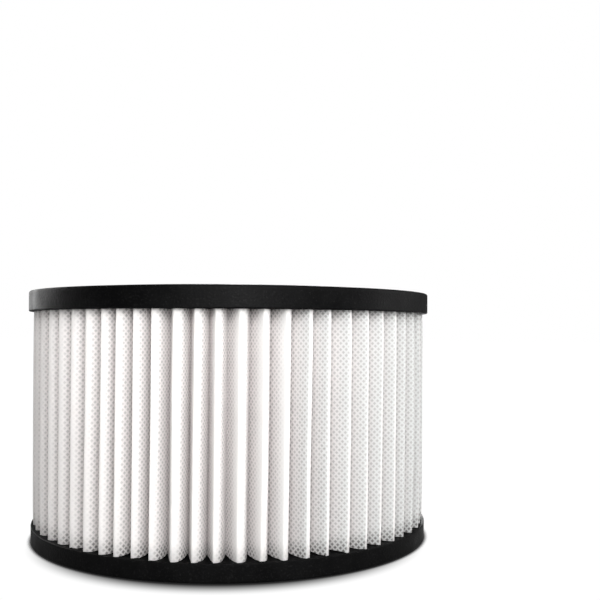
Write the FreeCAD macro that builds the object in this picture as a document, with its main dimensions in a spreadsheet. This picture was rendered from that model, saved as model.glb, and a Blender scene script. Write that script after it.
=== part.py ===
"""Cartridge filter for a vacuum cleaner: a ring of pleats round a mesh sleeve, between two black end pieces.

Millimetres. Z runs up the axis, the closed end stands on z = 0 and the open end is at the top.
The radii grow outward from the bore: collar, mesh, pleats, then the two end pieces.
"""
import os

import FreeCAD
import Part
import Sketcher

SIZES = [
    ("bore_d", 150.0, "clear bore of the open end"),
    ("collar_wall", 1.1, "thickness of the collar round the bore"),
    ("collar_drop", 3.0, "length of the collar below the ring"),
    ("mesh_gap", 0.3, "clearance on each side of the mesh"),
    ("mesh_wall", 0.8, "thickness of the mesh"),
    ("mesh_pairs", 17, "pairs of strand columns round the sleeve"),
    ("mesh_rows", 7, "turns of each zigzag strand"),
    ("mesh_strand", 1.4, "width of a strand at its tips, along the circumference"),
    ("pleat_count", 66, "pleats in the ring"),
    ("pleat_depth", 12.5, "valley to crest, over the strip"),
    ("media_height", 94.2, "free height of the pleats"),
    ("media_thickness", 0.6, "nonwoven strip"),
    ("fold_radius", 0.7, "outer round of each crest and valley"),
    ("cap_overhang", 1.0, "closed-end cap beyond the crests"),
    ("cap_height", 8.8, "thickness of the cap under the pleats"),
    ("cap_edge", 0.8, "bevel round the foot of the cap"),
    ("foot_width", 19.0, "flat foot of the cap, from its outer wall in"),
    ("disc_height", 4.5, "height of the cap's centre disc"),
    ("disc_wall", 2.0, "thickness of the centre disc"),
    ("groove_d", 72.0, "ring groove in the disc, at its middle"),
    ("groove_width", 2.4, "width of the ring groove"),
    ("groove_depth", 1.0, "depth of the ring groove"),
    ("glue_width", 3.0, "tan glue bead at the foot of the mesh"),
    ("glue_height", 2.5, "height of the bead against the mesh"),
    ("ring_overhang", 2.2, "open-end ring beyond the crests"),
    ("ring_height", 9.0, "open-end ring, top to bottom"),
    ("ring_edge", 1.0, "bevel round the ring's top edge"),
    ("seat_depth", 5.0, "depth of the seal's seat below the rim"),
    ("seal_setback", 0.6, "seal's inner face back from the bore"),
    ("seal_width", 9.4, "rubber seal, across"),
    ("seal_bevel", 2.2, "bevel on each side of the seal's crown"),
    ("seal_proud", 0.6, "how far the seal stands above the rim"),
    ("groove_gap", 1.8, "open groove between the seal and the rim"),
]

doc = FreeCAD.newDocument("filter")
sheet = doc.addObject("Spreadsheet::Sheet", "Sizes")
for row, (alias, size, note) in enumerate(SIZES, 1):
    sheet.set(f"A{row}", str(size))
    sheet.setAlias(f"A{row}", alias)
    sheet.set(f"B{row}", note)
doc.recompute()

# Radii, from the bore outward.
BORE = "Sizes.bore_d / 2"
COLLAR = f"({BORE} + Sizes.collar_wall)"
MESH_IN = f"({COLLAR} + Sizes.mesh_gap)"
COLUMN = "(90 deg / Sizes.mesh_pairs)"
MESH_OUT = f"({MESH_IN} + Sizes.mesh_wall)"
VALLEY = f"({MESH_OUT} / cos({COLUMN}) + Sizes.mesh_gap)"
CREST = f"({VALLEY} + Sizes.pleat_depth)"
CAP = f"({CREST} + Sizes.cap_overhang)"
RING = f"({CREST} + Sizes.ring_overhang)"
BEAD = f"({MESH_IN} - Sizes.mesh_gap)"
SEAL_IN = f"({BORE} + Sizes.seal_setback)"
SEAL_OUT = f"({SEAL_IN} + Sizes.seal_width)"
SEAT = f"({SEAL_OUT} + Sizes.groove_gap)"

# Heights, from the floor up.
DISC_Z = "Sizes.disc_height"
LAND_Z = "Sizes.cap_height"
RING_Z = "(Sizes.cap_height + Sizes.media_height)"
RIM_Z = f"({RING_Z} + Sizes.ring_height)"
SEAT_Z = f"({RIM_Z} - Sizes.seat_depth)"
SEAL_Z = f"({RIM_Z} + Sizes.seal_proud)"


def new_body(name):
    """An empty body whose label names the sub-part."""
    body = doc.addObject("PartDesign::Body", name)
    body.Label = name
    return body


def origin_part(body, role):
    """The plane or axis with this role in the body's own origin."""
    return next(f for f in body.Origin.OriginFeatures if f.Role == role)


def new_sketch(body, name, support):
    """An empty sketch on a plane of the body."""
    sketch = body.newObject("Sketcher::SketchObject", name)
    sketch.AttachmentSupport = [(support, "")]
    sketch.MapMode = "FlatFace"
    return sketch


def outline(sketch, corners):
    """A closed outline whose corners are pairs of expressions, each tied to the sketch's origin."""
    n = len(corners)
    start = [FreeCAD.Vector(i + 1, i * i + 1, 0) for i in range(n)]
    for i in range(n):
        sketch.addGeometry(Part.LineSegment(start[i], start[(i + 1) % n]), False)
    for i in range(n):
        sketch.addConstraint(Sketcher.Constraint("Coincident", i, 2, (i + 1) % n, 1))
    for i, corner in enumerate(corners):
        now = (start[i].x, start[i].y)
        for size, kind, axis, place in zip(corner, ("DistanceX", "DistanceY"), (-2, -1), now):
            if size == "0":
                sketch.addConstraint(Sketcher.Constraint("PointOnObject", i, 1, axis))
                continue
            index = sketch.addConstraint(Sketcher.Constraint(kind, -1, 1, i, 1, place))
            name = f"corner{i}_{kind[-1].lower()}"
            sketch.renameConstraint(index, name)
            sketch.setExpression(f"Constraints.{name}", size)


def turned(name, corners):
    """A body turned about Z from an outline of radius and height pairs."""
    body = new_body(name)
    sketch = new_sketch(body, name + "_section", origin_part(body, "XZ_Plane"))
    outline(sketch, corners)
    turn = body.newObject("PartDesign::Revolution", name + "_turn")
    turn.Profile = sketch
    turn.ReferenceAxis = (sketch, ["V_Axis"])
    turn.Angle = 360
    body.Tip = turn


def padded(body, sketch, length):
    """The sketch raised by this length."""
    pad = body.newObject("PartDesign::Pad", sketch.Name + "_pad")
    pad.Profile = sketch
    pad.setExpression("Length", length)
    return pad


def repeated(body, features, count):
    """The features repeated round the Z axis."""
    pattern = body.newObject("PartDesign::PolarPattern", body.Name + "_round")
    pattern.Originals = features
    pattern.Axis = (origin_part(body, "Z_Axis"), [""])
    pattern.Angle = 360
    pattern.setExpression("Occurrences", count)
    body.Tip = pattern


# Closed-end cap: a land for the pleats, a lower centre disc with a ring groove, a shallow hollow underneath.
turned("closed_end_cap", [
    (f"{CAP} - Sizes.foot_width", "0"),
    (f"{CAP} - Sizes.cap_edge", "0"),
    (CAP, "Sizes.cap_edge"),
    (CAP, LAND_Z),
    (VALLEY, LAND_Z),
    (VALLEY, DISC_Z),
    ("Sizes.groove_d / 2 + Sizes.groove_width / 2", DISC_Z),
    ("Sizes.groove_d / 2", f"{DISC_Z} - Sizes.groove_depth"),
    ("Sizes.groove_d / 2 - Sizes.groove_width / 2", DISC_Z),
    ("0", DISC_Z),
    ("0", f"{DISC_Z} - Sizes.disc_wall"),
    (f"{CAP} - Sizes.foot_width", f"{DISC_Z} - Sizes.disc_wall"),
])

# Tan glue bead in the corner between the disc and the foot of the mesh.
turned("mesh_foot_glue", [
    (f"{BEAD} - Sizes.glue_width", DISC_Z),
    (BEAD, DISC_Z),
    (BEAD, f"{DISC_Z} + Sizes.glue_height"),
])

# Open-end ring: rim, seal seat with an open groove, and the collar that stands inside the mesh.
turned("open_end_ring", [
    (BORE, f"{RING_Z} - Sizes.collar_drop"),
    (COLLAR, f"{RING_Z} - Sizes.collar_drop"),
    (COLLAR, RING_Z),
    (RING, RING_Z),
    (RING, f"{RIM_Z} - Sizes.ring_edge"),
    (f"{RING} - Sizes.ring_edge", RIM_Z),
    (SEAT, RIM_Z),
    (SEAT, SEAT_Z),
    (BORE, SEAT_Z),
])

# Rubber seal: square foot in the seat, bevelled crown a little proud of the rim.
turned("seal_ring", [
    (SEAL_IN, SEAT_Z),
    (SEAL_OUT, SEAT_Z),
    (SEAL_OUT, f"{SEAL_Z} - Sizes.seal_bevel"),
    (f"{SEAL_OUT} - Sizes.seal_bevel", SEAL_Z),
    (f"{SEAL_IN} + Sizes.seal_bevel", SEAL_Z),
    (SEAL_IN, f"{SEAL_Z} - Sizes.seal_bevel"),
])

# One pleat with its crest on the X axis. Its panels keep the strip's thickness and run tangent to the folds' rounds.
FOLD = "Sizes.fold_radius"
HALF = "(180 deg / Sizes.pleat_count)"
CREST_C = f"({CREST} - {FOLD})"
VALLEY_C = f"({VALLEY} + {FOLD})"
RUN = f"({CREST_C} - {VALLEY_C} * cos({HALF}))"
RISE = f"({VALLEY_C} * sin({HALF}))"
SLACK = f"(Sizes.media_thickness - 2 * {FOLD})"
SLOPE = f"(atan({RISE} / {RUN}) + asin({SLACK} / hypot({RUN}; {RISE})))"
CREST_TURN = f"(90 deg - {SLOPE})"
VALLEY_TURN = f"(90 deg - {SLOPE} - {HALF})"
FLAT = f"({FOLD} * tan({VALLEY_TURN} / 2))"
NOTCH = f"(({CREST_C} * sin({SLOPE}) + {FOLD}) / sin({SLOPE} + {HALF}))"
PEAK = f"(({VALLEY_C} * sin({SLOPE} + {HALF}) - {FOLD}) / sin({SLOPE}))"
REACH = f"({FOLD} / cos({CREST_TURN} / 4))"
one_side = [
    (f"{VALLEY} * cos({HALF}) + {FLAT} * sin({HALF})", f"{VALLEY} * sin({HALF}) - {FLAT} * cos({HALF})"),
    (f"{VALLEY} * cos({HALF})", f"{VALLEY} * sin({HALF})"),
    (f"{NOTCH} * cos({HALF})", f"{NOTCH} * sin({HALF})"),
    (f"{CREST_C} + {REACH} * cos({CREST_TURN} * 3 / 4)", f"{REACH} * sin({CREST_TURN} * 3 / 4)"),
    (f"{CREST_C} + {REACH} * cos({CREST_TURN} / 4)", f"{REACH} * sin({CREST_TURN} / 4)"),
]
other_side = [(x, f"-1 * ({y})") for x, y in reversed(one_side)]
media = new_body("pleated_media")
pleat = new_sketch(media, "pleat", origin_part(media, "XY_Plane"))
pleat.setExpression(".AttachmentOffset.Base.z", LAND_Z)
outline(pleat, [(PEAK, "0")] + one_side + other_side)
repeated(media, [padded(media, pleat, "Sizes.media_height")], "Sizes.pleat_count")

# Mesh sleeve: flat zigzag strands side by side, mirrored from one column to the next so that their tips join.
WIDE = f"(2 * {MESH_OUT} * tan({COLUMN}))"
LIFT = f"(({RING_Z} - {DISC_Z}) / Sizes.mesh_rows)"
STRAND = "Sizes.mesh_strand"
TIP = f"({STRAND} * {LIFT} / {WIDE})"
rows = int(sheet.get("mesh_rows"))
mesh = new_body("support_mesh")
next_column = mesh.newObject("PartDesign::Plane", "next_column")
next_column.AttachmentSupport = [(origin_part(mesh, "YZ_Plane"), "")]
next_column.MapMode = "FlatFace"
next_column.AttachmentOffset = FreeCAD.Placement(
    FreeCAD.Vector(0, 0, 0), FreeCAD.Rotation(FreeCAD.Vector(0, 1, 0), 10))
next_column.setExpression(".AttachmentOffset.Rotation.Angle", f"2 * {COLUMN}")
strands = []
for side, support in enumerate((origin_part(mesh, "YZ_Plane"), next_column)):
    strand = new_sketch(mesh, f"strand_{side}", support)
    strand.setExpression(".AttachmentOffset.Base.x", f"-0.5 * {WIDE}")
    strand.setExpression(".AttachmentOffset.Base.y", DISC_Z)
    strand.setExpression(".AttachmentOffset.Base.z", MESH_IN)
    right_edge, left_edge = [], []
    for k in range(rows + 1):
        z = f"{k} * {LIFT}" if k else "0"
        below = f"{z} - {TIP}" if k else "0"
        above = z if k == rows else f"{z} + {TIP}" if k else TIP
        if (k + side) % 2:
            right_edge += [(WIDE, below), (WIDE, above)]
            left_edge += [(f"{WIDE} - {STRAND}", z)]
        else:
            right_edge += [(STRAND, z)]
            left_edge += [("0", below), ("0", above)]
    outline(strand, right_edge + left_edge[::-1])
    strands.append(padded(mesh, strand, "Sizes.mesh_wall"))
repeated(mesh, strands, "Sizes.mesh_pairs")

doc.recompute()
os.makedirs("parts", exist_ok=True)
for item in doc.Objects:
    if "Invalid" in item.State or "Error" in item.State:
        raise RuntimeError(f"{item.Name} did not build: {item.getStatusString()}")
for item in doc.Objects:
    if item.TypeId != "PartDesign::Body":
        continue
    shape = item.Shape
    if shape.isNull() or not shape.isValid() or len(shape.Solids) != 1:
        raise RuntimeError(f"{item.Label} is not one sound solid")
    shape.exportStep(f"parts/{item.Label}.step")
    print(item.Label, f"{shape.Volume:.1f} mm3", len(shape.Faces), "faces")
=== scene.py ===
# %% [markdown]
# A pleated cartridge filter for a vacuum cleaner.
# The real one is a long strip of white nonwoven folded into sixty-six pleats, bent into a ring round a
# sleeve of expanded metal, and cast into a black cap at one end and a black ring at the other.
# The solids give the size and place of every piece. This lesson dresses them: each piece is a surface
# worked out with numpy, and each finish is a small network of nodes.

import math

import bpy
import numpy as np
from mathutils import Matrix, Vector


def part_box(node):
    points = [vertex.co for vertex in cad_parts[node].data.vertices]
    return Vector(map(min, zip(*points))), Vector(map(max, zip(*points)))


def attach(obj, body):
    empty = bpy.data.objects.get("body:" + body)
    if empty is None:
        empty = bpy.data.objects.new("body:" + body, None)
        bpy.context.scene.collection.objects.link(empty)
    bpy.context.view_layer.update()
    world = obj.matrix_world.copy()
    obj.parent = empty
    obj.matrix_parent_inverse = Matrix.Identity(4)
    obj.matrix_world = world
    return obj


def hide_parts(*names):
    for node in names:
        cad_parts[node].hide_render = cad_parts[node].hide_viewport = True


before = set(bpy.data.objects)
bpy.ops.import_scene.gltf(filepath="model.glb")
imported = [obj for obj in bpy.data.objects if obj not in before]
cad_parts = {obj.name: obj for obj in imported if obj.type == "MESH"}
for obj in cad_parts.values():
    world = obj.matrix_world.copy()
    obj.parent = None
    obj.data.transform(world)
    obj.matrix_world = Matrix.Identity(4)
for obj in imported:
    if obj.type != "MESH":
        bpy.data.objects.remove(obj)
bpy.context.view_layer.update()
MM = 0.001

# %% [markdown]
# The camera stands in front of the filter, a little to the right of its axis, level, and a little below
# the rim, so the rim curves up slightly and the foot curves down more.
# A level camera with a small vertical shift keeps the pleats upright, as a product photographer does.

# %% Camera
PICTURE = 600
FOCAL_PIXELS = 871.9
HORIZON_ROW = 331.9
CAMERA_PLACE_MM = (32.7, -416.5, 94.4)
CAMERA_ROLL = math.radians(-0.27)

camera_data = bpy.data.cameras.new("photo_camera")
camera_data.sensor_width = 36.0
camera_data.lens = FOCAL_PIXELS / PICTURE * camera_data.sensor_width
camera_data.shift_y = (HORIZON_ROW - PICTURE / 2) / PICTURE
camera = bpy.data.objects.new("photo_camera", camera_data)
camera.location = [v * MM for v in CAMERA_PLACE_MM]
camera.rotation_euler = (math.pi / 2, CAMERA_ROLL, 0.0)
bpy.context.collection.objects.link(camera)
bpy.context.scene.camera = camera
bpy.context.scene.view_settings.view_transform = "Standard"
print("camera lens in mm:", round(camera_data.lens, 2))

# %% [markdown]
# A turned or folded surface is a grid of points: one index runs round or along, the other across.
# The helper below writes the four corners of every cell of such a grid in one go. A second helper puts
# points and cells into a mesh, turns the cells over if the closed form came out inside out, and hangs
# the piece on the part's only body. Points are in millimetres until the last moment.


# %% Helpers that turn a grid of points into a piece
def grid_cells(rows, columns, wrap_rows=False, wrap_columns=False):
    """Corner numbers of each cell of a grid, point (i, j) being number i * columns + j. Where an
    index wraps, the last line is joined to the first one."""
    i = np.arange(rows if wrap_rows else rows - 1)
    j = np.arange(columns if wrap_columns else columns - 1)
    i, j = np.meshgrid(i, j, indexing="ij")
    below = (i + 1) % rows
    right = (j + 1) % columns
    cells = [i * columns + j, i * columns + right, below * columns + right, below * columns + j]
    return np.stack(cells, axis=-1).reshape(-1, 4)


def signed_volume(points, cells):
    """Sum over cells, cut into two triangles, of a . (b x c) / 6: negative when turned inside out."""
    a, b, c, d = (points[cells[:, k]] for k in range(4))
    first = np.einsum("ij,ij->i", a, np.cross(b, c))
    second = np.einsum("ij,ij->i", a, np.cross(c, d))
    return float((first + second).sum() / 6)


def merged(points, cells):
    """Points that lie on one spot become one point; a cell that loses two corners is dropped."""
    spots, number = np.unique(np.round(points, 5), axis=0, return_inverse=True)
    cells = number.reshape(-1)[cells]
    different = (np.diff(np.sort(cells, axis=1), axis=1) != 0).sum(axis=1) + 1
    return spots, cells[different >= 3]


def add_piece(name, points, cells, replaced=()):
    """A mesh object at the origin from points in millimetres and four-cornered cells."""
    points = np.asarray(points, float).reshape(-1, 3)
    if signed_volume(points, cells) < 0:
        cells = cells[:, ::-1]
    faces = [tuple(dict.fromkeys(cell)) for cell in cells.tolist()]
    mesh = bpy.data.meshes.new(name)
    mesh.from_pydata((points * MM).tolist(), [], faces)
    mesh.polygons.foreach_set("use_smooth", np.ones(len(mesh.polygons), bool))
    mesh.update()
    piece = bpy.data.objects.new(name, mesh)
    bpy.context.collection.objects.link(piece)
    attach(piece, "root")
    if replaced:
        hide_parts(*replaced)
    print(name, "has", len(mesh.vertices), "points and", len(mesh.polygons), "faces")
    return piece


# %% [markdown]
# The pleated strip is the filter itself. It could be drawn as a zigzag and rounded with a bevel, but a
# folded strip has one property that a drawing loses: it bends and does not stretch. So the fold is
# described by the angle of the strip to the ring's circumference as one walks along it. The angle is
# steep on the way out, turns over at the crest, and drops back to the sleeve. Adding up its cosine and
# sine along the walk gives the shape. The side that faces left is stretched flat and the other side is
# slack and rounded, because the pleats lean over a little as the pack is closed into a ring.

# %% Sizes of the pleat pack and the levels it shares with the end pieces, in millimetres
PLEATS = 66
VALLEY_R = 81.5
CREST_R = 90.1
MEDIA_THICK = 0.5
MEDIA_FOOT = 6.9
MEDIA_TOP = 103.8
LAND = 7.6
LIP_TOP = 8.8
RING_FOOT = 103.0
media_low, media_high = (np.array(v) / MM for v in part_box("pleated_media"))
print("pleat solid in mm:", media_low.round(2), media_high.round(2))


# %% The angle along one fold, added up to a shape
def turn(x):
    """A soft step from 0 to 1: half of one plus the hyperbolic tangent."""
    return 0.5 * (1.0 + np.tanh(x))


def fold_shape(walk, rise, over, drop, crest_at, crest_soft, shoulder, valley_soft):
    """Across and out, both from 0 to 1, of a strip whose angle to the circumference is `rise` on the
    way out, drops to nothing at the crest, bends evenly to minus `over` along the round shoulder and
    slowly on to minus `drop` at the valley. The turns at crest and valley are soft steps, and the sums
    of cosine and sine are levelled so the fold closes."""
    round_part = np.clip((walk - crest_at) / shoulder, 0.0, 1.0)
    slack_part = np.clip((walk - crest_at - shoulder) / (1.0 - crest_at - shoulder), 0.0, 1.0)
    angle = (
        -drop
        + (rise + drop) * turn(walk / valley_soft)
        - rise * turn((walk - crest_at) / crest_soft)
        - over * round_part
        - (drop - over) * slack_part
        + (rise + drop) * turn((walk - 1.0) / valley_soft)
    )
    step = np.diff(walk, axis=-1, prepend=0.0)
    across = np.cumsum(np.cos(angle) * step, axis=-1)
    out = np.cumsum(np.sin(angle) * step, axis=-1)
    across = across - across[..., :1]
    out = out - out[..., :1]
    out = out - out[..., -1:] * walk
    across = across / across[..., -1:]
    low = out.min(axis=-1, keepdims=True)
    high = out.max(axis=-1, keepdims=True)
    return across, (out - low) / (high - low)


# %% [markdown]
# No two pleats of a hand-closed pack are alike. Every pleat gets its own small lean, crest softness and
# place, drawn once from a seeded generator, and these drift slowly with height, as sums of long waves.
# On the left half the pleats are full: the shoulder behind each crest is long and round. On the right
# half the shoulder is short, so the crest is a sharp line. Near both ends the cast pieces hold the
# pleats, and the shoulder is a little longer and the crest a little lower there.

# %% Places where the strip is worked out: heights, and shares of the walk along one pleat
LAND_ROW = 1
MIDDLE_ROW = 11
heights = np.array(
    [MEDIA_FOOT, LAND, 8.7, 10.4, 12.2, 14.5, 18, 23, 29, 36, 44, 53]
    + [62, 71, 79, 86, 91.5, 95.5, 98.4, 100.5, 102, RING_FOOT, MEDIA_TOP]
)
share_up = (heights - heights[0]) / (heights[-1] - heights[0])

FINE_STEPS = 400
valley_out = np.linspace(0.0, 0.05, 4, endpoint=False)
flat_flank = np.linspace(0.05, 0.42, 4, endpoint=False)
crest_turn = np.linspace(0.42, 0.52, 7, endpoint=False)
round_shoulder = np.linspace(0.52, 0.70, 7, endpoint=False)
slack_flank = np.linspace(0.70, 0.95, 3, endpoint=False)
valley_in = np.linspace(0.95, 1.0, 3, endpoint=False)
walk_fine = np.linspace(0.0, 1.0, FINE_STEPS + 1)
pleat_walk = np.concatenate([valley_out, flat_flank, crest_turn, round_shoulder, slack_flank, valley_in])
kept = np.round(pleat_walk * FINE_STEPS).astype(int)
print("pleats:", PLEATS, "points along each:", len(kept), "heights:", len(heights))

# %% Slow drifts from a seeded generator
random = np.random.default_rng(66)


def long_wave(half_waves, size):
    """Half waves from foot to top, with a height and a start of its own for each pleat."""
    tall = random.normal(0.0, size, (PLEATS, 1))
    start = random.uniform(0, 6.28, (PLEATS, 1))
    return tall * np.sin(half_waves * math.pi * share_up + start)


def drift(size):
    """A value per pleat and height: a fixed draw per pleat and two long waves up the pleat."""
    fixed = random.normal(0.0, 1.0, (PLEATS, 1))
    first = long_wave(1, 0.5)
    second = long_wave(2, 0.25)
    return size * (fixed + first + second)


# %% Values of every pleat and every height, angles in degrees
FULL_TO = math.radians(9.0)
FULL_SHARP = 5.0
HELD_REACH = 5.0
RISE = 61.0
RISE_WHERE_FULL = 5.0
OVER = 74.0
OVER_WHERE_FULL = -4.0
DROP = 87.0
CREST_AT = 0.49
CREST_SOFT = 0.008
VALLEY_SOFT = 0.020
SHOULDER = 0.045
SHOULDER_WHERE_FULL = 0.16
SHOULDER_WHERE_HELD = 0.02

held_below = np.exp(-(heights - LIP_TOP).clip(0) / HELD_REACH)
held_above = np.exp(-(RING_FOOT - heights).clip(0) / HELD_REACH)
held = (held_below + held_above).clip(0, 1)[None, :]
pleat_turn = (np.arange(PLEATS)[:, None] + 0.5) * 2 * math.pi / PLEATS + math.pi
full = turn(FULL_SHARP * np.sin(FULL_TO - pleat_turn))
rise = np.radians(RISE + RISE_WHERE_FULL * full + drift(1.2))
over = np.radians(OVER + OVER_WHERE_FULL * full + drift(3.0))
drop = np.radians(DROP + drift(2.0))
crest_at = CREST_AT + drift(0.006)
crest_soft = CREST_SOFT * (1 + drift(0.08))
shoulder = SHOULDER + SHOULDER_WHERE_FULL * full + SHOULDER_WHERE_HELD * held
shoulder = shoulder * (1 + drift(0.07))
valley_soft = np.full_like(rise, VALLEY_SOFT)
print("shoulders from", shoulder.min().round(3), "to", shoulder.max().round(3), "of a pleat's walk")

# %% Fold all pleats at all heights
across, out = fold_shape(
    walk_fine[None, None, :],
    *(v[:, :, None] for v in (rise, over, drop, crest_at, crest_soft, shoulder, valley_soft)),
)
across = across[:, :, kept]
out = out[:, :, kept]
crest_across = across[np.arange(PLEATS), MIDDLE_ROW, out[:, MIDDLE_ROW].argmax(axis=1)]
print("crests lie at", crest_across.mean().round(2), "of a pleat's width")

# %% [markdown]
# The folds are then set round the ring. Each valley has its place on an even division, with a small
# error of its own, and the pack is twisted a little from foot to top. The division is stretched at the
# sides and closer at the back, by two sine waves round the ring, and a soft hump of shift crowds the
# pleats left of the front.

# %% Set the folds round the ring
FRONT_ANGLE = -math.pi / 2
FIRST_VALLEY = math.radians(3.6)
VALLEY_ERROR = math.radians(0.22)
TWIST = math.radians(0.55)
STRETCH_ONCE = 0.135
STRETCH_TWICE = -0.067
CROWD_AT = -50.0
CROWD_WIDE = 27.0
CROWD_SHIFT = math.radians(4.2)
CREST_ERROR = 0.16
CREST_LOWER_WHERE_HELD = 0.25
VALLEY_R_ERROR = 0.15

even = np.arange(PLEATS + 1) * 2 * math.pi / PLEATS + math.pi / 2 + FIRST_VALLEY
valley_error = random.normal(0.0, VALLEY_ERROR, PLEATS)
valley_angle = even + np.append(valley_error, valley_error[0])
crest_radius = CREST_R + drift(CREST_ERROR) - CREST_LOWER_WHERE_HELD * held
valley_radius = VALLEY_R + VALLEY_R_ERROR * random.normal(0.0, 1.0, (PLEATS, 1))
valley_radius = valley_radius * np.ones_like(crest_radius)
valley_radius = np.stack([valley_radius, np.roll(valley_radius, -1, axis=0)], axis=-1)
floor_radius = valley_radius[:, :, :1] * (1 - pleat_walk) + valley_radius[:, :, 1:] * pleat_walk
radius = floor_radius + (crest_radius[:, :, None] - floor_radius) * out

angle = valley_angle[:-1, None, None] + (valley_angle[1:] - valley_angle[:-1])[:, None, None] * across
angle = angle + TWIST * (share_up - 0.5)[None, :, None]
from_front = angle - FRONT_ANGLE
angle = angle + STRETCH_ONCE * np.sin(from_front) + STRETCH_TWICE * np.sin(2 * from_front)
from_crowd = np.degrees(from_front - 2 * math.pi) - CROWD_AT
angle = angle + CROWD_SHIFT * np.exp(-((from_crowd / CROWD_WIDE) ** 2))
print("crest radius from", radius.max(axis=(1, 2)).min().round(2), "to", radius.max().round(2), "mm")

crest_column = radius[:, MIDDLE_ROW].argmax(axis=1)
crest_place = np.degrees(angle[np.arange(PLEATS), MIDDLE_ROW, crest_column] - FRONT_ANGLE) - 360.0
print("crests near the front at", crest_place[abs(crest_place) < 45].round(1), "degrees")

# %% [markdown]
# The strip has two ends, and on the real filter one end is glued over the other on the flank of a
# pleat. The grid therefore runs once round and then on up the first flank, lifted by one thickness, so
# the joint is a real lap. Two skins half a thickness either side of the middle give the cloth its
# thickness, and its edges are closed.

# %% Lay the strip out as one long grid with a lap at the back
LAP_COLUMNS = 10
LAP_RAMP = LAP_COLUMNS + 3
LAP_RISE_SHARE = 0.3
LAP_GAP = 0.05

along = radius.transpose(0, 2, 1).reshape(-1, len(heights))
around = angle.transpose(0, 2, 1).reshape(-1, len(heights))
along = np.concatenate([along, along[:LAP_COLUMNS]])
around = np.concatenate([around, around[:LAP_COLUMNS] + 2 * math.pi])
columns = len(along)
height_grid = np.broadcast_to(heights, along.shape)
middle = np.stack([along * np.cos(around), along * np.sin(around), height_grid], axis=-1)
step_length = np.linalg.norm(np.diff(middle, axis=0), axis=-1).mean(axis=1)
strip_at = np.concatenate([[0.0], np.cumsum(step_length)])
outward = np.cross(np.gradient(middle, axis=0), np.gradient(middle, axis=1))
outward = outward / np.linalg.norm(outward, axis=-1, keepdims=True)
lift = np.zeros(columns)
lift[-LAP_RAMP:] = np.linspace(0.0, 1.0, LAP_RAMP).clip(0, LAP_RISE_SHARE) / LAP_RISE_SHARE
lift = lift * (MEDIA_THICK + LAP_GAP)
middle = middle + outward * lift[:, None, None]
outer_skin = middle + outward * MEDIA_THICK / 2
inner_skin = middle - outward * MEDIA_THICK / 2

# %% Put the strip into a mesh
rows = len(heights)
loop = np.concatenate([outer_skin, inner_skin[:, ::-1]], axis=1)
cells = grid_cells(columns, 2 * rows, wrap_columns=True)
j = np.arange(rows - 1)
end_cells = np.stack([j, j + 1, 2 * rows - 2 - j, 2 * rows - 1 - j], axis=-1)
last = (columns - 1) * 2 * rows
cells = np.concatenate([cells, end_cells, last + end_cells[:, ::-1]])
media = add_piece("pleated_strip", loop, cells, ["pleated_media"])

# %% [markdown]
# The finish of the cloth needs to know where on the strip it is, so three things are kept at every
# point. The first is the place along the strip, the height and the depth in the fold. The second says how
# well the bonded dots show: they fade along every crest and on the flat flanks of the pleats at the front
# and left, which is a painted highlight, and where they show the cloth takes a painted warm shade. The
# third is a painted grey shade on the flat flanks: it grows towards the crest, and is strongest on the
# right.

# %% Keep the place, the dots' painted fading and the painted flank shade at every point of the strip
FRONT_UP_TO = 20.0
FRONT_SOFT = 3.0
DOT_FADE_FROM = 0.484
DOT_FADE_EARLIER_IN_FRONT = 0.206
DOT_FADE_SOFT = 0.007
DOT_FADE_SOFTER_IN_FRONT = 0.06
DOT_FADE_TO = 0.62
DOT_FADE_TO_SOFT = 0.05
DOT_FADE_SHARE = 0.95
FLANK_SHADE_POWER = 1.7
FLANK_SHADE_TO = CREST_AT - 0.004
FLANK_SHADE_SOFT = 0.005
FLANK_SHADE_LESS_IN_FRONT = 0.7


def keep_on_strip(name, values):
    """One value per pleat and place in its walk, repeated over the lap, the heights and both skins."""
    values = np.concatenate([values.ravel(), values.ravel()[:LAP_COLUMNS]])
    kept_values = media.data.attributes.new(name, "FLOAT", "POINT")
    kept_values.data.foreach_set("value", np.repeat(values, 2 * rows).astype(np.float32))
    print(name, "from", values.min().round(2), "to", values.max().round(2))


depth = (CREST_R - along) / (CREST_R - VALLEY_R)
strip_place = np.stack([np.broadcast_to(strip_at[:, None], along.shape), height_grid, depth], axis=-1)
strip_place = np.concatenate([strip_place, strip_place[:, ::-1]], axis=1)
kept_place = media.data.attributes.new("strip", "FLOAT_VECTOR", "POINT")
kept_place.data.foreach_set("vector", strip_place.astype(np.float32).ravel())

near_front = turn((FRONT_UP_TO - crest_place) / FRONT_SOFT)[:, None]
dot_fade_from = DOT_FADE_FROM - DOT_FADE_EARLIER_IN_FRONT * near_front
dot_fade_soft = DOT_FADE_SOFT + DOT_FADE_SOFTER_IN_FRONT * near_front
# Dots fade along every crest and on the flat flanks at the front and left: a painted highlight.
dots_faded = turn((pleat_walk - dot_fade_from) / dot_fade_soft) * turn((DOT_FADE_TO - pleat_walk) / DOT_FADE_TO_SOFT)
keep_on_strip("bond_and_painted_light", 1.0 - DOT_FADE_SHARE * dots_faded)
# A painted grey shade on the flat flanks, which grows towards the crest and is strongest on the right.
flank_shade = (pleat_walk / CREST_AT).clip(0, 1) ** FLANK_SHADE_POWER * turn((FLANK_SHADE_TO - pleat_walk) / FLANK_SHADE_SOFT)
keep_on_strip("flank_shade", flank_shade * (1.0 - FLANK_SHADE_LESS_IN_FRONT * near_front))

# %% [markdown]
# Where the pleats stand in the cast end, the plastic climbed a little up the cloth before it set, most
# of all in the valleys. It is a thin dark fillet whose upper edge wanders. It follows the same fold, so
# it is a second grid along the strip: five points across, from inside the cloth over its outer face and
# down into the land of the cap.

# %% Cast fillet at the pleats' feet
FILLET_SUNK = 0.6
FILLET_AT_CREST = 0.10
FILLET_IN_VALLEY = 1.30
FILLET_WANDER = 0.8

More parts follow.
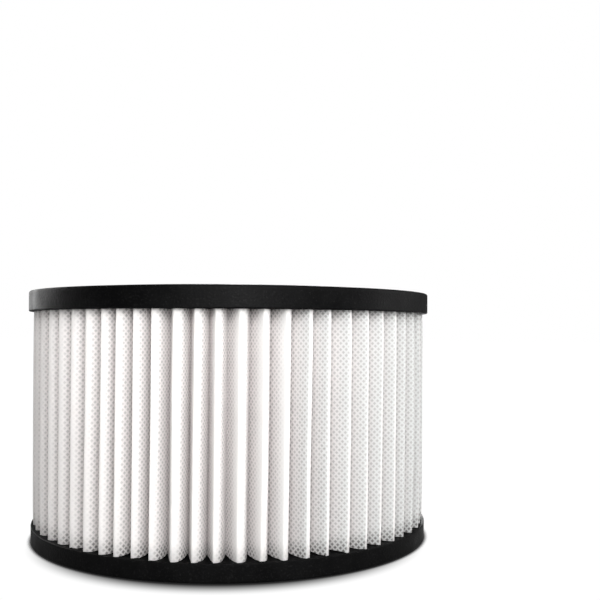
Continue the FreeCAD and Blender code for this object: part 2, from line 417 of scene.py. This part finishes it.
feet = middle[:, LAND_ROW]
feet_out = outward[:, LAND_ROW] * np.array([1.0, 1.0, 0.0])
wander = np.cumsum(random.normal(0.0, 0.16, columns))
wander = wander - np.linspace(wander[0], wander[-1], columns)
wander = np.sin(wander * 3.0) * 0.25 + np.sin(wander * 11.0) * 0.12
valley_share = depth[:, LAND_ROW].clip(0, 1)
climb = LAND + FILLET_AT_CREST + FILLET_IN_VALLEY * valley_share**2 + FILLET_WANDER * wander
sunk = np.full(columns, LAND - FILLET_SUNK)
toe = np.full(columns, LAND + 0.1)
levels = np.stack([sunk, climb - 0.15, climb, toe, sunk], axis=-1)
face = MEDIA_THICK / 2
proud = np.array([0.0, 0.1, face + 0.06, face + 0.22, face + 0.35])
fillet = feet[:, None, :] + feet_out[:, None, :] * proud[None, :, None]
fillet[:, :, 2] = levels
count = fillet.shape[1]
cells = grid_cells(columns, count, wrap_columns=True)
end_cells = np.array([[0, 1, 2, 4], [2, 3, 4, 4]])
cells = np.concatenate([cells, end_cells, (columns - 1) * count + end_cells[:, ::-1]])
cast_fillet = add_piece("cast_fillet", fillet, cells)

# %% [markdown]
# The two end pieces and the seal are turned forms: an outline in the plane of radius and height, carried
# round the axis. A moulded edge is never sharp, so every corner of an outline is replaced by a short
# curve, with one more point on each side that keeps the neighbouring face flat in the light. A corner is
# written as its radius, its height and the reach of its curve.


# %% Outlines with soft corners, carried round the axis
def softened(outline, reach, steps=5):
    """Each corner becomes the curve (1-t)^2 a + 2t(1-t) corner + t^2 b between points a and b that lie
    `reach` along its two sides, with a holding point a third of the way further out on each side."""
    to_last = np.roll(outline, 1, axis=0) - outline
    to_next = np.roll(outline, -1, axis=0) - outline
    last_length = np.linalg.norm(to_last, axis=1)
    next_length = np.linalg.norm(to_next, axis=1)
    reach = np.minimum(reach, 0.36 * np.minimum(last_length, next_length))
    to_last = to_last / last_length[:, None] * reach[:, None]
    to_next = to_next / next_length[:, None] * reach[:, None]
    t = np.linspace(0.0, 1.0, steps)[None, :, None]
    curve = outline[:, None] + (1 - t) ** 2 * to_last[:, None] + t**2 * to_next[:, None]
    first = outline + 1.35 * to_last
    final = outline + 1.35 * to_next
    return np.concatenate([first[:, None], curve, final[:, None]], axis=1).reshape(-1, 2)


def turned_points(outline, segments):
    """Point (i, j) is outline point j turned by 2 pi i / segments about the axis."""
    spin = np.arange(segments) * 2 * math.pi / segments
    r, z = outline[:, 0], outline[:, 1]
    x = np.cos(spin)[:, None] * r
    y = np.sin(spin)[:, None] * r
    return np.stack([x, y, np.broadcast_to(z, x.shape)], axis=-1)


def turned_piece(name, corners, replaced, segments=240):
    """A closed turned form, with the points on its axis merged into one."""
    corners = np.array(corners, float)
    section = softened(corners[:, :2], corners[:, 2])
    section[:, 0] = section[:, 0].clip(0.0)
    points = turned_points(section, segments)
    cells = grid_cells(segments, len(section), wrap_rows=True, wrap_columns=True)
    points, cells = merged(points.reshape(-1, 3), cells)
    return add_piece(name, points, cells, replaced)


# %% [markdown]
# The closed end is a dish: a ring that stands on the floor, a flat land that holds the pleats with a
# slightly higher lip inside it, a thin disc across the middle, and a shallow groove round its centre.

# %% Closed end
CAP_R = 91.33
FOOT_IN_R = 72.33
LAND_IN_R = 79.4
LIP_OUT_R = 79.0
LIP_IN_R = 77.6
DISC_UNDER = 2.5
DISC_TOP = 4.5
GROOVE_R = 36.0
GROOVE_HALF_TOP = 1.2
GROOVE_HALF_FLOOR = 0.4
GROOVE_FLOOR = 3.5
cap_corners = [
    (0.0, DISC_UNDER, 0.0),
    (FOOT_IN_R, DISC_UNDER, 0.5),
    (FOOT_IN_R, 0.0, 0.8),
    (CAP_R, 0.0, 0.9),
    (CAP_R, LAND, 0.3),
    (LAND_IN_R, LAND, 0.2),
    (LIP_OUT_R, LIP_TOP, 0.2),
    (LIP_IN_R, LIP_TOP, 0.4),
    (LIP_IN_R, DISC_TOP, 0.4),
    (GROOVE_R + GROOVE_HALF_TOP, DISC_TOP, 0.4),
    (GROOVE_R + GROOVE_HALF_FLOOR, GROOVE_FLOOR, 0.3),
    (GROOVE_R - GROOVE_HALF_FLOOR, GROOVE_FLOOR, 0.3),
    (GROOVE_R - GROOVE_HALF_TOP, DISC_TOP, 0.4),
    (0.0, DISC_TOP, 0.0),
]
end_cap = turned_piece("closed_end", cap_corners, ["closed_end_cap"])

# %% [markdown]
# The open end is a ring with a rim, a narrow open groove and a seat for the seal. Below the seat a thin
# collar hangs inside the sleeve and hides the sleeve's cut edge.

# %% Open end
BORE_R = 75.0
COLLAR_R = 76.1
COLLAR_FOOT = 100.0
RING_R = 92.53
RING_TOP = 112.0
RIM_IN_R = 86.8
SEAT = 107.0
ring_corners = [
    (BORE_R, COLLAR_FOOT, 0.3),
    (COLLAR_R, COLLAR_FOOT, 0.3),
    (COLLAR_R, RING_FOOT, 0.2),
    (RING_R, RING_FOOT, 0.6),
    (RING_R, RING_TOP, 1.0),
    (RIM_IN_R, RING_TOP, 0.8),
    (RIM_IN_R, SEAT, 0.5),
    (BORE_R, SEAT, 0.3),
]
open_ring = turned_piece("open_end", ring_corners, ["open_end_ring"])

# %% [markdown]
# The seal is a rubber lip that is squeezed against the machine's head. Its crown is round, so its
# outline has few corners and long curves.

# %% Seal
SEAL_IN_R = 75.6
SEAL_OUT_R = 85.0
SEAL_TOP = 112.6
seal_corners = [
    (SEAL_IN_R, SEAT, 0.2),
    (SEAL_OUT_R, SEAT, 0.2),
    (SEAL_OUT_R, SEAL_TOP - 2.0, 1.2),
    (SEAL_OUT_R - 1.6, SEAL_TOP, 1.2),
    (SEAL_IN_R + 2.0, SEAL_TOP, 1.4),
    (SEAL_IN_R, SEAL_TOP - 2.2, 1.2),
]
seal = turned_piece("seal_lip", seal_corners, ["seal_ring"])

# %% [markdown]
# The sleeve inside is expanded metal: a slit sheet pulled open, so its strands never cross. Each strand
# runs up the sleeve in a zigzag and touches its neighbours at the knuckles. A small flat section is
# carried along all strands at once. The sheet is wound in a spiral and joined along its edge, which
# shows as a doubled strand that climbs round the sleeve.

# %% Helpers for strands
SLEEVE_R = 77.0
STRAND_WIDE = 0.75
STRAND_THICK = 0.45


def zigzag(beat):
    """A triangle wave with rounded tips: the arc sine of a slightly weakened sine, over a right angle."""
    return 2 / math.pi * np.arcsin(0.97 * np.sin(2 * math.pi * beat))


def ribbon_points(turned, height, radial, tilt):
    """Corners of a flat section along strands given by angle, height and radius, one strand a row. The
    section lies across the strand's run on the sleeve, and `tilt` turns it out of the sleeve."""
    run_side = np.gradient(turned, axis=1) * SLEEVE_R
    run_up = np.gradient(height, axis=1)
    size = np.hypot(run_side, run_up)
    across_side, across_up = run_up / size, -run_side / size
    corner_w = np.array([-0.5, 0.5, 0.5, -0.5]) * STRAND_WIDE
    corner_t = np.array([-0.5, -0.5, 0.5, 0.5]) * STRAND_THICK
    flat = corner_w * math.cos(tilt) - corner_t * math.sin(tilt)
    deep = corner_w * math.sin(tilt) + corner_t * math.cos(tilt)
    r = radial[..., None] + deep
    a = turned[..., None] + across_side[..., None] * flat / SLEEVE_R
    z = height[..., None] + across_up[..., None] * flat
    return np.stack([r * np.cos(a), r * np.sin(a), z], axis=-1)


def ribbon_cells(strands, length):
    """Cells of closed four-sided strands, ends capped."""
    one = grid_cells(length, 4, wrap_columns=True)
    first_cap = np.array([[3, 2, 1, 0]])
    last_cap = 4 * length - 4 + np.array([[0, 1, 2, 3]])
    one = np.concatenate([one, first_cap, last_cap])
    return (np.arange(strands)[:, None, None] * 4 * length + one).reshape(-1, 4)


# %% Strands of the sleeve
DIAMONDS = 78
DIAMOND_HIGH = 6.9
SLEEVE_FOOT = 4.6
SLEEVE_TOP = 102.9
STEPS_PER_DIAMOND = 6
KNUCKLE_SHARE = 0.93
STRAND_WAVE = 0.12
STRAND_TILT = math.radians(24)

strand = np.arange(2 * DIAMONDS)
cell_wide = 2 * math.pi / DIAMONDS
beats = (SLEEVE_TOP - SLEEVE_FOOT) / DIAMOND_HIGH
beat = np.linspace(0.0, beats, int(round(beats * STEPS_PER_DIAMOND)) + 1)
sign = np.where(strand % 2 == 0, 1.0, -1.0)[:, None]
sway = sign * zigzag(beat)[None, :] * cell_wide / 4 * KNUCKLE_SHARE
strand_angle = (strand[:, None] + 0.5) * cell_wide / 2 + sway
strand_height = np.broadcast_to(SLEEVE_FOOT + beat * DIAMOND_HIGH, strand_angle.shape)
strand_radius = SLEEVE_R + STRAND_WAVE * sign * np.cos(2 * math.pi * beat)[None, :]
sleeve_points = ribbon_points(strand_angle, strand_height, strand_radius, STRAND_TILT).reshape(-1, 3)
sleeve_cells = ribbon_cells(len(strand), len(beat))
print("sleeve has", len(strand), "strands")

# %% Spiral lap of the sleeve, and the finished piece
SEAM_RISE = 82.0
SEAM_POINTS = 560
SEAM_MARGIN = 1.5
SEAM_START = 0.4
SEAM_HALF = 0.5
SEAM_SWAY = 1.1
SEAM_INSET = 0.35

seam_run = np.linspace(0.0, (SLEEVE_TOP - SLEEVE_FOOT - 2 * SEAM_MARGIN) / SEAM_RISE, SEAM_POINTS)
seam_pair = np.array([-1.0, 1.0])[:, None]
seam_angle = np.tile(2 * math.pi * seam_run + SEAM_START, (2, 1))
seam_climb = SLEEVE_FOOT + SEAM_MARGIN + SEAM_RISE * seam_run
seam_height = seam_climb + seam_pair * (SEAM_HALF + SEAM_SWAY * zigzag(seam_run * DIAMONDS))
seam_radius = np.full_like(seam_angle, SLEEVE_R - SEAM_INSET)
seam_points = ribbon_points(seam_angle, seam_height, seam_radius, 0.0).reshape(-1, 3)
seam_cells = ribbon_cells(2, SEAM_POINTS) + len(sleeve_points)
sleeve = add_piece(
    "expanded_metal_sleeve",
    np.concatenate([sleeve_points, seam_points]),
    np.concatenate([sleeve_cells, seam_cells]),
    ["support_mesh"],
)

# %% [markdown]
# A bead of tan hot glue holds the sleeve's foot on the disc. It was run by hand, so its height and its
# inner edge wander as sums of a few waves round the ring.

# %% Glue bead
BEAD_R = 76.0
BEAD_FOOT = 4.45
BEAD_IN = 2.6
BEAD_UP = 2.2
BEAD_SEGMENTS = 360
WAVES_ROUND = np.array([3, 5, 8, 13, 21, 34, 47])
WAVE_SIZES = np.array([0.16, 0.14, 0.12, 0.10, 0.09, 0.08, 0.06])

bead_turn = np.arange(BEAD_SEGMENTS) * 2 * math.pi / BEAD_SEGMENTS
phase = random.uniform(0, 2 * math.pi, (2, len(WAVES_ROUND)))
uneven = (WAVE_SIZES * np.sin(bead_turn[:, None, None] * WAVES_ROUND + phase)).sum(axis=-1)
bead_angle = np.linspace(0.0, math.pi / 2, 9)
bead_r = BEAD_R - (BEAD_IN + uneven[:, :1]) * np.cos(bead_angle) ** 0.8
bead_z = BEAD_FOOT + (BEAD_UP + uneven[:, 1:]) * np.sin(bead_angle) ** 1.1
bead_r = np.append(bead_r, np.full((BEAD_SEGMENTS, 1), BEAD_R), axis=1)
bead_z = np.append(bead_z, np.full((BEAD_SEGMENTS, 1), BEAD_FOOT), axis=1)
bead_x = bead_r * np.cos(bead_turn)[:, None]
bead_y = bead_r * np.sin(bead_turn)[:, None]
bead = np.stack([bead_x, bead_y, bead_z], axis=-1)
cells = grid_cells(BEAD_SEGMENTS, bead.shape[1], wrap_rows=True, wrap_columns=True)
glue = add_piece("glue_bead", bead, cells, ["mesh_foot_glue"])

# %% [markdown]
# Finishes are networks of nodes. The helpers make a new material and add a node with its settings and
# its fixed inputs, so that each finish below reads as a short list of what the surface shows.


# %% Helpers for finishes
def new_finish(name, colour, roughness):
    """A material with its tree and main shader. The plain colour and roughness stand in wherever the
    network that is wired to them later isn't followed."""
    material = bpy.data.materials.new(name)
    material.use_nodes = True
    shader = material.node_tree.nodes["Principled BSDF"]
    shader.inputs["Base Color"].default_value = (*colour, 1.0)
    shader.inputs["Roughness"].default_value = roughness
    return material, material.node_tree, shader


def node(tree, kind, fixed=None, **settings):
    """A node of one kind, its settings by name and its fixed inputs by socket name or number."""
    made = tree.nodes.new(kind)
    for key, value in settings.items():
        setattr(made, key, value)
    for key, value in (fixed or {}).items():
        made.inputs[key].default_value = value
    return made


def wire(tree, *pairs):
    """Joins sockets, given as pairs of an output and an input."""
    for output, target in pairs:
        tree.links.new(output, target)


def clouded(tree, where, scale, detail):
    """Soft noise from 0 to 1 on the coordinates `where`."""
    made = node(tree, "ShaderNodeTexNoise", {"Scale": scale, "Detail": detail})
    wire(tree, (where, made.inputs["Vector"]))
    return made.outputs["Fac"]


def stepped(tree, source, low, high, to_low=0.0, to_high=1.0):
    """A soft step: `source` from low to high becomes to_low to to_high."""
    made = node(
        tree,
        "ShaderNodeMapRange",
        {"From Min": low, "From Max": high, "To Min": to_low, "To Max": to_high},
        interpolation_type="SMOOTHSTEP",
    )
    wire(tree, (source, made.inputs["Value"]))
    return made.outputs["Result"]


def blended(tree, share, first, second):
    """A mix of two colours, each a socket or three numbers, by a socket."""
    made = node(tree, "ShaderNodeMix", data_type="RGBA", blend_type="MIX")
    wire(tree, (share, made.inputs[0]))
    for key, value in ((6, first), (7, second)):
        if isinstance(value, tuple):
            made.inputs[key].default_value = (*value, 1.0)
        else:
            wire(tree, (value, made.inputs[key]))
    return made.outputs[2]


def bumped(tree, shader, height, strength, distance):
    """Fine relief from a height socket."""
    made = node(tree, "ShaderNodeBump", {"Strength": strength, "Distance": distance})
    wire(tree, (height, made.inputs["Height"]), (made.outputs["Normal"], shader.inputs["Normal"]))


def scaled(tree, source, factor, plus=0.0):
    """source times a number plus a number."""
    made = node(tree, "ShaderNodeMath", {1: factor, 2: plus}, operation="MULTIPLY_ADD")
    wire(tree, (source, made.inputs[0]))
    return made.outputs[0]


def combined(tree, first, second, operation):
    """Two sockets added or multiplied."""
    made = node(tree, "ShaderNodeMath", operation=operation)
    wire(tree, (first, made.inputs[0]), (second, made.inputs[1]))
    return made.outputs[0]


# %% [markdown]
# The nonwoven is bonded in small dots on a staggered grid, and pressed thin at each dot, so a dot is
# sunk and greyer. Between the dots it is a felt of fibres. The pattern is laid on the strip's own length
# and height, so it follows every fold. It could be painted on an unwrapped picture, but the strip's own
# coordinates never stretch, and cells of a square Voronoi pattern turned by an eighth give the dots.

# %% Pattern of the nonwoven: dots, fibres and slow clouds
DOT_PITCH = 1.65
material, tree, shader = new_finish("nonwoven_finish", (0.86, 0.85, 0.835), 0.85)
on_strip = node(tree, "ShaderNodeAttribute", attribute_name="strip").outputs["Vector"]
bond_and_painted_light = node(tree, "ShaderNodeAttribute", attribute_name="bond_and_painted_light").outputs["Fac"]
painted_flank_shade = node(tree, "ShaderNodeAttribute", attribute_name="flank_shade").outputs["Fac"]
dot_map = node(
    tree,
    "ShaderNodeMapping",
    {"Rotation": (0, 0, math.pi / 4), "Scale": (1 / DOT_PITCH, 1 / DOT_PITCH, 0)},
)
dots = node(
    tree,
    "ShaderNodeTexVoronoi",
    {"Scale": 1.0, "Randomness": 0.10},
    voronoi_dimensions="2D",
    distance="CHEBYCHEV",
)
fibre_map = node(tree, "ShaderNodeMapping", {"Scale": (2.2, 6.5, 0)})
fibres = node(
    tree,
    "ShaderNodeTexNoise",
    {"Scale": 1.0, "Detail": 5.0, "Distortion": 1.2},
    noise_dimensions="2D",
)
cloud = node(tree, "ShaderNodeTexNoise", {"Scale": 0.12, "Detail": 2.0}, noise_dimensions="2D")
split = node(tree, "ShaderNodeSeparateXYZ")
wire(
    tree,
    (on_strip, dot_map.inputs["Vector"]),
    (dot_map.outputs["Vector"], dots.inputs["Vector"]),
    (on_strip, fibre_map.inputs["Vector"]),
    (fibre_map.outputs["Vector"], fibres.inputs["Vector"]),
    (on_strip, cloud.inputs["Vector"]),
    (on_strip, split.inputs["Vector"]),
)
fibre = fibres.outputs["Fac"]
height_on_strip = split.outputs["Y"]
fold_depth = split.outputs["Z"]
dot_mask = stepped(tree, dots.outputs["Distance"], 0.16, 0.40, 1.0, 0.0)
# Where the dots fade along the crests and on the front and left flanks, that is a painted highlight.
dot_mask = combined(tree, dot_mask, bond_and_painted_light, "MULTIPLY")
print("dots are", round(DOT_PITCH * math.sqrt(2), 2), "mm apart along a row")

# %% [markdown]
# The colour is built up in layers: white fibres, a slow warm cloud, a painted warm shade away from the
# crests, a painted cooler grey shade on the flat flanks, the grey dots, with painted shade that makes
# them darker deep in a fold, and a painted warm shade deep in the folds. Near the cap and under the ring
# painted shade darkens the cloth a little and its dots more. The cloth is thin, so most of its light
# comes through it.

# %% Colour, relief and thinness of the nonwoven
cloth = blended(tree, stepped(tree, fibre, 0.3, 0.7), (0.92, 0.91, 0.90), (0.965, 0.956, 0.95))
cloud_share = stepped(tree, cloud.outputs["Fac"], 0.35, 0.7, 0.0, 0.35)
cloth = blended(tree, cloud_share, cloth, (0.95, 0.925, 0.91))
# Painted warm shade on the cloth away from the crests, where the dots show.
cloth = blended(tree, bond_and_painted_light, cloth, (0.90, 0.872, 0.866))
# Painted cooler grey shade on the flat flanks.
cloth = blended(tree, painted_flank_shade, cloth, (0.785, 0.805, 0.80))
# Painted shade: the dots are darker deep in a fold.
dot_shade_in_fold = stepped(tree, fold_depth, 0.6, 1.0)
dot_colour = blended(tree, dot_shade_in_fold, (0.62, 0.615, 0.61), (0.40, 0.39, 0.385))
cloth = blended(tree, scaled(tree, dot_mask, 0.95), cloth, dot_colour)
# Painted warm shade deep in the folds.
cloth = blended(tree, stepped(tree, fold_depth, 0.2, 1.0, 0.0, 0.35), cloth, (0.92, 0.885, 0.88))
# Painted shade: the cloth, and most of all its dots, darken near the cap and under the ring.
shade_above_cap = stepped(tree, height_on_strip, 8.5, 15.0, 1.0, 0.0)
shade_under_ring = stepped(tree, height_on_strip, 98.5, RING_FOOT, 0.0, 0.55)
painted_shade_near_ends = combined(tree, shade_above_cap, shade_under_ring, "ADD")
painted_shade_near_ends = combined(tree, painted_shade_near_ends, scaled(tree, dot_mask, 0.75, 0.16), "MULTIPLY")
cloth = blended(tree, painted_shade_near_ends, cloth, (0.20, 0.195, 0.19))
relief = combined(tree, scaled(tree, dot_mask, -1.0), scaled(tree, fibre, 0.35), "ADD")
bumped(tree, shader, relief, 0.8, 0.00022)
shader.inputs["Sheen Weight"].default_value = 0.12
through = node(tree, "ShaderNodeBsdfTranslucent")
thin = node(tree, "ShaderNodeMixShader")
wire(
    tree,
    (cloth, shader.inputs["Base Color"]),
    (cloth, through.inputs["Color"]),
    (scaled(tree, dot_mask, 0.04, 0.66), thin.inputs["Fac"]),
    (shader.outputs["BSDF"], thin.inputs[1]),
    (through.outputs["BSDF"], thin.inputs[2]),
    (thin.outputs["Shader"], tree.nodes["Material Output"].inputs["Surface"]),
)
media.data.materials.append(material)
print("nonwoven finish has", len(tree.nodes), "nodes")

# %% [markdown]
# The end pieces are cast in black plastic with a fine grain from the mould. The grain is relief, with a
# slow change of roughness over it, and many fine, slightly paler specks.

# %% Finish of the black plastic
material, tree, shader = new_finish("cast_plastic_finish", (0.010, 0.010, 0.011), 0.5)
where = node(tree, "ShaderNodeTexCoord").outputs["Object"]
grain = clouded(tree, where, 1100.0, 3.0)
slow = clouded(tree, where, 70.0, 3.0)
speck = clouded(tree, where, 1500.0, 2.0)
slow_share = stepped(tree, slow, 0.3, 0.7)
colour = blended(tree, slow_share, (0.0012, 0.0012, 0.0013), (0.0024, 0.0024, 0.0025))
colour = blended(tree, stepped(tree, speck, 0.54, 0.78, 0.0, 0.5), colour, (0.012, 0.012, 0.012))
wire(
    tree,
    (colour, shader.inputs["Base Color"]),
    (stepped(tree, slow, 0.25, 0.75, 0.42, 0.58), shader.inputs["Roughness"]),
)
shader.inputs["Specular IOR Level"].default_value = 0.035
bumped(tree, shader, grain, 0.5, 0.0003)
for piece in (end_cap, open_ring, cast_fillet):
    piece.data.materials.append(material)
print("plastic finish has", len(tree.nodes), "nodes")

# %% [markdown]
# The seal's rubber is smoother than the plastic, a trace purple in the light, and slightly uneven.

# %% Finish of the seal
material, tree, shader = new_finish("seal_finish", (0.018, 0.017, 0.020), 0.38)
where = node(tree, "ShaderNodeTexCoord").outputs["Object"]
bloom = clouded(tree, where, 120.0, 4.0)
skin = clouded(tree, where, 900.0, 2.0)
bloom_share = stepped(tree, bloom, 0.35, 0.7)
colour = blended(tree, bloom_share, (0.014, 0.013, 0.016), (0.026, 0.024, 0.029))
wire(
    tree,
    (colour, shader.inputs["Base Color"]),
    (stepped(tree, bloom, 0.3, 0.7, 0.30, 0.46), shader.inputs["Roughness"]),
)
shader.inputs["Specular IOR Level"].default_value = 0.25
bumped(tree, shader, skin, 0.2, 0.0001)
seal.data.materials.append(material)
print("seal finish has", len(tree.nodes), "nodes")

# %% [markdown]
# The sleeve is steel with a dull dark coating. The coating is thin, so it shines unevenly.

# %% Finish of the sleeve
material, tree, shader = new_finish("coated_steel_finish", (0.05, 0.05, 0.052), 0.45)
where = node(tree, "ShaderNodeTexCoord").outputs["Object"]
patch = clouded(tree, where, 160.0, 4.0)
pits = clouded(tree, where, 2200.0, 2.0)
patch_share = stepped(tree, patch, 0.3, 0.7)
colour = blended(tree, patch_share, (0.030, 0.030, 0.031), (0.085, 0.084, 0.082))
wire(
    tree,
    (colour, shader.inputs["Base Color"]),
    (stepped(tree, patch, 0.3, 0.7, 0.55, 0.36), shader.inputs["Roughness"]),
)
shader.inputs["Metallic"].default_value = 0.55
bumped(tree, shader, pits, 0.25, 0.00008)
sleeve.data.materials.append(material)
print("sleeve finish has", len(tree.nodes), "nodes")

# %% [markdown]
# Hot glue is tan, smooth and a little glossy, with darker spots where it was overheated.

# %% Finish of the glue
material, tree, shader = new_finish("hot_glue_finish", (0.52, 0.34, 0.17), 0.34)
where = node(tree, "ShaderNodeTexCoord").outputs["Object"]
tone = clouded(tree, where, 130.0, 5.0)
ripple = clouded(tree, where, 420.0, 2.0)
colour = blended(tree, stepped(tree, tone, 0.3, 0.7), (0.38, 0.23, 0.10), (0.60, 0.42, 0.23))
wire(tree, (colour, shader.inputs["Base Color"]))
shader.inputs["Coat Weight"].default_value = 0.25
shader.inputs["Coat Roughness"].default_value = 0.2
bumped(tree, shader, ripple, 0.3, 0.0003)
glue.data.materials.append(material)
print("glue finish has", len(tree.nodes), "nodes")

# %% [markdown]
# The filter stands on a plain white floor in a white room. To the camera the floor glows evenly, like a
# light table, with a soft round shade under the front of the cap and a thin dark line where the two
# meet. A glowing floor takes no shadow, so the shade is worked out from the distance to a point under
# the cap. Other rays see a plain grey floor, so that it does not fill the folds with light from below.

# %% Floor
FLOOR_SIDE = 8.0
FLOOR_LINES = 9
FLOOR_GLOW = 1.02
FLOOR_GREY = 0.34
CONTACT_REACH = 0.003
SHADE_CENTRE = (0.0, -0.0155, 0.0)
SHADE_INNER = 0.0750
SHADE_OUTER = 0.0905
SHADE_COLOUR = (0.02, 0.02, 0.02)

line = np.linspace(-FLOOR_SIDE, FLOOR_SIDE, FLOOR_LINES)
floor_x, floor_y = np.meshgrid(line, line, indexing="ij")
floor_points = np.stack([floor_x, floor_y, np.zeros_like(floor_x)], axis=-1).reshape(-1, 3)
floor_cells = grid_cells(FLOOR_LINES, FLOOR_LINES)[:, ::-1]
floor_mesh = bpy.data.meshes.new("studio_floor")
floor_mesh.from_pydata(floor_points.tolist(), [], floor_cells.tolist())
floor = bpy.data.objects.new("studio_floor", floor_mesh)
bpy.context.collection.objects.link(floor)
print("floor is", 2 * FLOOR_SIDE, "m wide")

# %% Finish of the floor
material, tree, shader = new_finish("floor_finish", (0.93, 0.93, 0.93), 0.7)
where = node(tree, "ShaderNodeTexCoord").outputs["Object"]
to_camera = node(tree, "ShaderNodeLightPath").outputs["Is Camera Ray"]
near = node(tree, "ShaderNodeAmbientOcclusion", {"Distance": CONTACT_REACH}, samples=16)
from_shade = node(tree, "ShaderNodeVectorMath", {1: SHADE_CENTRE}, operation="DISTANCE")
wire(tree, (where, from_shade.inputs[0]))
glow = blended(tree, clouded(tree, where, 30.0, 3.0), (0.99, 0.99, 0.99), (1.0, 1.0, 1.0))
glow = blended(tree, stepped(tree, near.outputs["AO"], 0.45, 0.92), SHADE_COLOUR, glow)
open_floor = stepped(tree, from_shade.outputs["Value"], SHADE_INNER, SHADE_OUTER)
glow = blended(tree, open_floor, SHADE_COLOUR, glow)
grey = blended(tree, to_camera, (FLOOR_GREY, FLOOR_GREY, FLOOR_GREY), (0.0, 0.0, 0.0))
wire(
    tree,
    (glow, shader.inputs["Emission Color"]),
    (grey, shader.inputs["Base Color"]),
    (scaled(tree, to_camera, FLOOR_GLOW), shader.inputs["Emission Strength"]),
)
shader.inputs["Specular IOR Level"].default_value = 0.0
floor.data.materials.append(material)
print("floor finish has", len(tree.nodes), "nodes")

# %% [markdown]
# A soft lamp beside the camera, a little to its right, lights the pleats from in front, so the flat
# flanks and the round shoulders part in tone. Three more soft lamps light the right, left and back, so
# that no side is dark. A far lamp from above lights the rim, and one from the right lights the shoulders
# of the left half.


# %% Lamps
LAMP_AIM = (0.0, 0.0, 0.055)
LAMP_SIDE = 0.24


def soft_lamp(name, place, power):
    """A square lamp at `place`, in metres, that shines towards the middle of the filter."""
    data = bpy.data.lights.new(name, "AREA")
    data.shape = "SQUARE"
    data.size = LAMP_SIDE
    data.energy = power
    lamp = bpy.data.objects.new(name, data)
    lamp.location = place
    x, y, z = np.array(LAMP_AIM) - np.array(place)
    lamp.rotation_euler = (math.atan2(math.hypot(x, y), -z), 0.0, math.atan2(-x, y))
    bpy.context.collection.objects.link(lamp)


def far_lamp(name, around, above, spread, strength):
    """A far soft source: `around` degrees to the right of the front, `above` degrees over the floor."""
    data = bpy.data.lights.new(name, "SUN")
    data.angle = math.radians(spread)
    data.energy = strength
    lamp = bpy.data.objects.new(name, data)
    lamp.rotation_euler = (math.radians(90 - above), 0.0, math.radians(around))
    bpy.context.collection.objects.link(lamp)


soft_lamp("key_lamp", (0.055, -0.40, 0.19), 2.6)
soft_lamp("right_lamp", (0.41, 0.03, 0.19), 1.0)
soft_lamp("left_lamp", (-0.36, 0.20, 0.19), 1.2)
soft_lamp("back_lamp", (0.06, 0.42, 0.19), 2.2)
far_lamp("top_lamp", 180, 80, 12, 1.4)
far_lamp("side_lamp", 48, 18, 20, 0.7)
print("lamps:", len(bpy.data.lights))

# %% [markdown]
# The room is white where the camera looks past the filter. The light that it sends into the folds is
# much weaker, or the pleats would lose their shading.

# %% White room
ROOM_FILL = 0.17
WHITE = (1.0, 1.0, 1.0, 1.0)
world = bpy.data.worlds.new("white_room")
bpy.context.scene.world = world
world.use_nodes = True
tree = world.node_tree
seen = tree.nodes["Background"]
seen.inputs["Color"].default_value = WHITE
seen.inputs["Strength"].default_value = 1.0
fill = node(tree, "ShaderNodeBackground", {"Color": WHITE, "Strength": ROOM_FILL})
to_camera = node(tree, "ShaderNodeLightPath").outputs["Is Camera Ray"]
either = node(tree, "ShaderNodeMixShader")
wire(
    tree,
    (to_camera, either.inputs[0]),
    (fill.outputs["Background"], either.inputs[1]),
    (seen.outputs["Background"], either.inputs[2]),
    (either.outputs["Shader"], tree.nodes["World Output"].inputs["Surface"]),
)
print("room fill:", ROOM_FILL)
